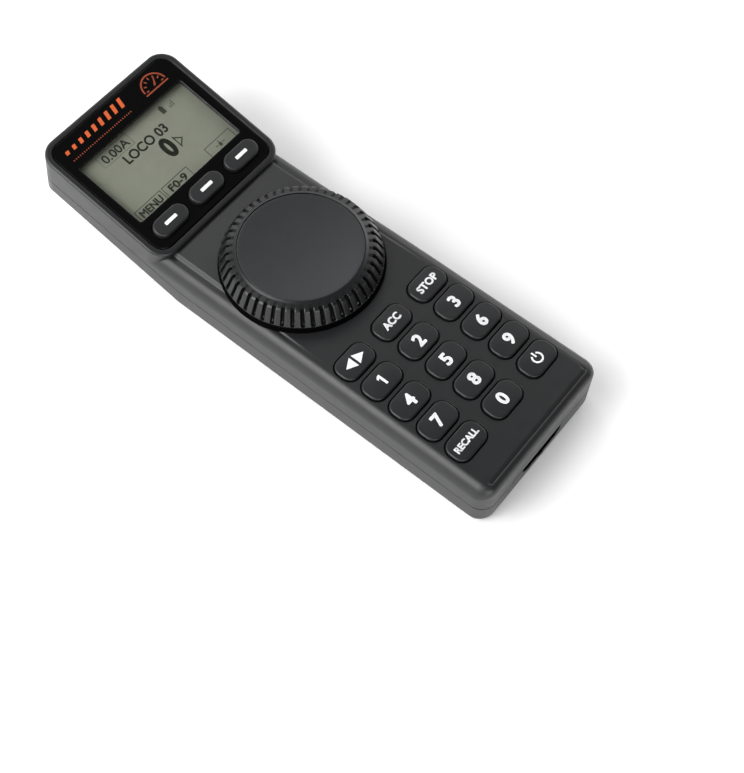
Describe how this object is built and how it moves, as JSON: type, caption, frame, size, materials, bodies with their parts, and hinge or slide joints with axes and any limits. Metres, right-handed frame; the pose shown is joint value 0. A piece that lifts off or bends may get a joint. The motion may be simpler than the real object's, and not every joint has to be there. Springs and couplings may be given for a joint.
{
  "type": "handheld wireless controller",
  "caption": "Handheld remote controller with a raised tilted display head, a large knurled dial, a grid of rounded keys, soft keys under the display and a sliding battery cover.",
  "frame": {"origin": "middle of the bounding box's bottom face: the surface the controller lies on, on its mirror plane", "axes": "+Z out of the front panel, +Y from the keys towards the display head, +X to the user's right when the head points away from the user"},
  "size_m": [0.0646, 0.2036, 0.0388],
  "materials": {
    "case_plastic": "fine satin texture, charcoal black",
    "face_gloss": "polished black",
    "window_clear": "clear, polished",
    "lcd_glass": "grey-green reflective liquid crystal",
    "holder_plastic": "matte black",
    "circuit_board": "green solder mask",
    "steel": "plated",
    "brass": "plain",
    "silicone": "matte grey silicone",
    "soft_key_plastic": "satin dark grey",
    "key_plastic": "fine matte black",
    "cable_film": "pale film",
    "dial_plastic": "satin black",
    "cap_plastic": "semi-gloss dark grey",
    "cell_can": "green printed sleeve"
  },
  "bodies": {
    "case": {"front_shell": "case_plastic", "rear_shell": "case_plastic", "face_plate": "face_gloss", "display_window": "window_clear", "lcd_panel": "lcd_glass", "lcd_holder": "holder_plastic", "display_board": "circuit_board", "radio_module": "steel", "soft_key_mat": "silicone", "keypad_mat": "silicone", "main_board": "circuit_board", "ribbon_cable": "cable_film", "encoder_body": "steel", "encoder_nut": "brass", "battery_cell_left": "cell_can", "battery_cell_right": "cell_can", "battery_terminal_positive": "steel", "battery_terminal_negative": "steel", "battery_link_plate": "steel", "case_screw_1": "steel", "case_screw_2": "steel", "case_screw_3": "steel", "case_screw_4": "steel", "case_screw_5": "steel", "case_screw_6": "steel"},
    "dial": {"speed_dial": "dial_plastic", "dial_cap": "cap_plastic", "encoder_shaft": "steel"},
    "cover": {"battery_cover": "case_plastic"},
    "button_direction": {"key_direction": "key_plastic"},
    "button_function": {"key_function": "key_plastic"},
    "button_stop": {"key_stop": "key_plastic"},
    "button_1": {"key_1": "key_plastic"},
    "button_2": {"key_2": "key_plastic"},
    "button_3": {"key_3": "key_plastic"},
    "button_4": {"key_4": "key_plastic"},
    "button_5": {"key_5": "key_plastic"},
    "button_6": {"key_6": "key_plastic"},
    "button_7": {"key_7": "key_plastic"},
    "button_8": {"key_8": "key_plastic"},
    "button_9": {"key_9": "key_plastic"},
    "button_recall": {"key_recall": "key_plastic"},
    "button_0": {"key_0": "key_plastic"},
    "button_power": {"key_power": "key_plastic"},
    "button_soft_left": {"soft_key_left": "soft_key_plastic"},
    "button_soft_middle": {"soft_key_middle": "soft_key_plastic"},
    "button_soft_right": {"soft_key_right": "soft_key_plastic"}
  },
  "joints": [
    {"name": "dial_turn", "type": "hinge", "parent": "case", "child": "dial", "pos_m": [0, 0.00342, 0.0236], "axis": [0, 0, 1], "continuous": true},
    {"name": "battery_cover_slide", "type": "slide", "parent": "case", "child": "cover", "axis": [0, -1, 0], "range_m": [0, 0.061]},
    {"name": "press_direction", "type": "slide", "parent": "case", "child": "button_direction", "axis": [0, 0, -1], "range_m": [0, 0.001], "stiffness_N_per_m": 250, "springref_m": -0.0004},
    {"name": "press_function", "type": "slide", "parent": "case", "child": "button_function", "axis": [0, 0, -1], "range_m": [0, 0.001], "stiffness_N_per_m": 250, "springref_m": -0.0004},
    {"name": "press_stop", "type": "slide", "parent": "case", "child": "button_stop", "axis": [0, 0, -1], "range_m": [0, 0.001], "stiffness_N_per_m": 250, "springref_m": -0.0004},
    {"name": "press_1", "type": "slide", "parent": "case", "child": "button_1", "axis": [0, 0, -1], "range_m": [0, 0.001], "stiffness_N_per_m": 250, "springref_m": -0.0004},
    {"name": "press_2", "type": "slide", "parent": "case", "child": "button_2", "axis": [0, 0, -1], "range_m": [0, 0.001], "stiffness_N_per_m": 250, "springref_m": -0.0004},
    {"name": "press_3", "type": "slide", "parent": "case", "child": "button_3", "axis": [0, 0, -1], "range_m": [0, 0.001], "stiffness_N_per_m": 250, "springref_m": -0.0004},
    {"name": "press_4", "type": "slide", "parent": "case", "child": "button_4", "axis": [0, 0, -1], "range_m": [0, 0.001], "stiffness_N_per_m": 250, "springref_m": -0.0004},
    {"name": "press_5", "type": "slide", "parent": "case", "child": "button_5", "axis": [0, 0, -1], "range_m": [0, 0.001], "stiffness_N_per_m": 250, "springref_m": -0.0004},
    {"name": "press_6", "type": "slide", "parent": "case", "child": "button_6", "axis": [0, 0, -1], "range_m": [0, 0.001], "stiffness_N_per_m": 250, "springref_m": -0.0004},
    {"name": "press_7", "type": "slide", "parent": "case", "child": "button_7", "axis": [0, 0, -1], "range_m": [0, 0.001], "stiffness_N_per_m": 250, "springref_m": -0.0004},
    {"name": "press_8", "type": "slide", "parent": "case", "child": "button_8", "axis": [0, 0, -1], "range_m": [0, 0.001], "stiffness_N_per_m": 250, "springref_m": -0.0004},
    {"name": "press_9", "type": "slide", "parent": "case", "child": "button_9", "axis": [0, 0, -1], "range_m": [0, 0.001], "stiffness_N_per_m": 250, "springref_m": -0.0004},
    {"name": "press_recall", "type": "slide", "parent": "case", "child": "button_recall", "axis": [0, 0, -1], "range_m": [0, 0.001], "stiffness_N_per_m": 250, "springref_m": -0.0004},
    {"name": "press_0", "type": "slide", "parent": "case", "child": "button_0", "axis": [0, 0, -1], "range_m": [0, 0.001], "stiffness_N_per_m": 250, "springref_m": -0.0004},
    {"name": "press_power", "type": "slide", "parent": "case", "child": "button_power", "axis": [0, 0, -1], "range_m": [0, 0.001], "stiffness_N_per_m": 250, "springref_m": -0.0004},
    {"name": "press_soft_left", "type": "slide", "parent": "case", "child": "button_soft_left", "axis": [0, 0.2317, -0.9728], "range_m": [0, 0.0008], "stiffness_N_per_m": 250, "springref_m": -0.0004},
    {"name": "press_soft_middle", "type": "slide", "parent": "case", "child": "button_soft_middle", "axis": [0, 0.2317, -0.9728], "range_m": [0, 0.0008], "stiffness_N_per_m": 250, "springref_m": -0.0004},
    {"name": "press_soft_right", "type": "slide", "parent": "case", "child": "button_soft_right", "axis": [0, 0.2317, -0.9728], "range_m": [0, 0.0008], "stiffness_N_per_m": 250, "springref_m": -0.0004}
  ]
}
